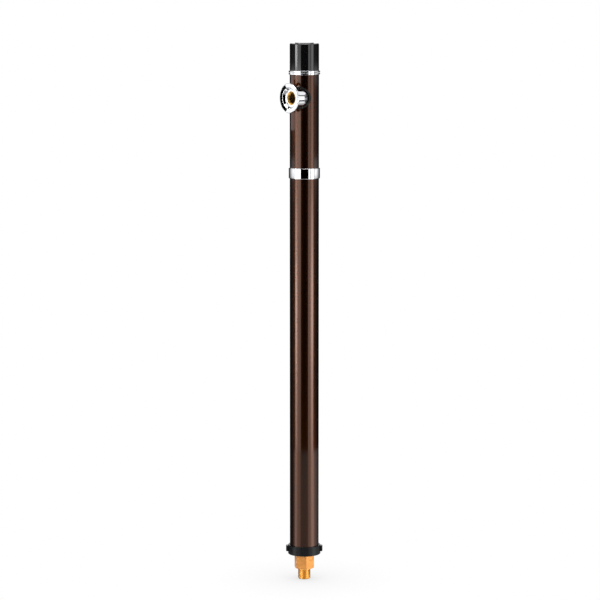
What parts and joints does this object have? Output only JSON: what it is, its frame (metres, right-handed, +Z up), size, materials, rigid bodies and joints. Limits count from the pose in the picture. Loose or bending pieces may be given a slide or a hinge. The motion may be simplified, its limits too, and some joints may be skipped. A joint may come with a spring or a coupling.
{
  "type": "garden standpipe",
  "caption": "Brown column standpipe: a black top cap turns to lift a long rod off the foot valve, feeding a flanged chrome tap socket; brass inlet thread below.",
  "frame": {"origin": "centre of the lower end of the inlet nipple, on the column's axis", "axes": "+Z up the column, the tap socket faces -Y"},
  "size_m": [0.0643, 0.0701, 0.9045],
  "materials": {
    "cap_black": "glossy black moulded plastic",
    "trim_chrome": "polished chrome plate",
    "pipe_brown": "glossy dark bronze-brown coating on steel",
    "ring_black": "satin black moulded plastic",
    "body_brass": "matt cast and machined brass",
    "thread_brass": "bright machined brass",
    "inner_brass": "machined brass",
    "inner_steel": "drawn stainless steel",
    "seal_rubber": "black rubber",
    "seal_fibre": "red fibre-rubber sheet",
    "guide_plastic": "natural moulded plastic"
  },
  "bodies": {
    "column": {"inlet_nipple": "thread_brass", "inlet_strainer": "inner_steel", "valve_body": "body_brass", "drain_plug": "inner_brass", "valve_seat": "inner_brass", "base_ring": "ring_black", "base_nut": "inner_brass", "lower_pipe": "pipe_brown", "upper_pipe": "pipe_brown", "joint_band": "trim_chrome", "joint_sleeve": "inner_steel", "riser_pipe": "inner_steel", "riser_seals": "seal_rubber", "casing_spacers": "guide_plastic", "head_body": "inner_brass", "top_collar": "trim_chrome", "bonnet": "inner_brass", "thrust_washers": "seal_fibre", "gland_packing": "seal_rubber", "gland_follower": "inner_brass", "gland_nut": "inner_brass", "outlet_elbow": "trim_chrome", "outlet_bush": "thread_brass", "outlet_flange": "trim_chrome", "outlet_washer": "seal_fibre", "outlet_gasket": "seal_rubber"},
    "handle": {"handle_cap": "cap_black", "cap_plug": "cap_black", "handle_insert": "inner_brass", "handle_screw": "inner_steel", "handle_trim_ring": "trim_chrome", "spindle": "inner_brass"},
    "lift": {"drive_nut": "inner_brass", "rod_pin": "inner_steel", "operating_rod": "inner_steel", "rod_guides": "guide_plastic", "piston": "inner_brass", "piston_rings": "seal_rubber", "seat_washer": "seal_rubber", "washer_screw": "inner_brass"}
  },
  "joints": [
    {"name": "handle_turn", "type": "hinge", "parent": "column", "child": "handle", "pos_m": [0, 0, 0.86], "axis": [0, 0, 1], "range_deg": [0, 450]},
    {"name": "rod_lift", "type": "slide", "parent": "column", "child": "lift", "axis": [0, 0, 1], "range_m": [0, 0.0075]}
  ],
  "couplings": [
    {"joint": "rod_lift", "follows": "handle_turn", "m_per_rad": 0.00095492}
  ]
}
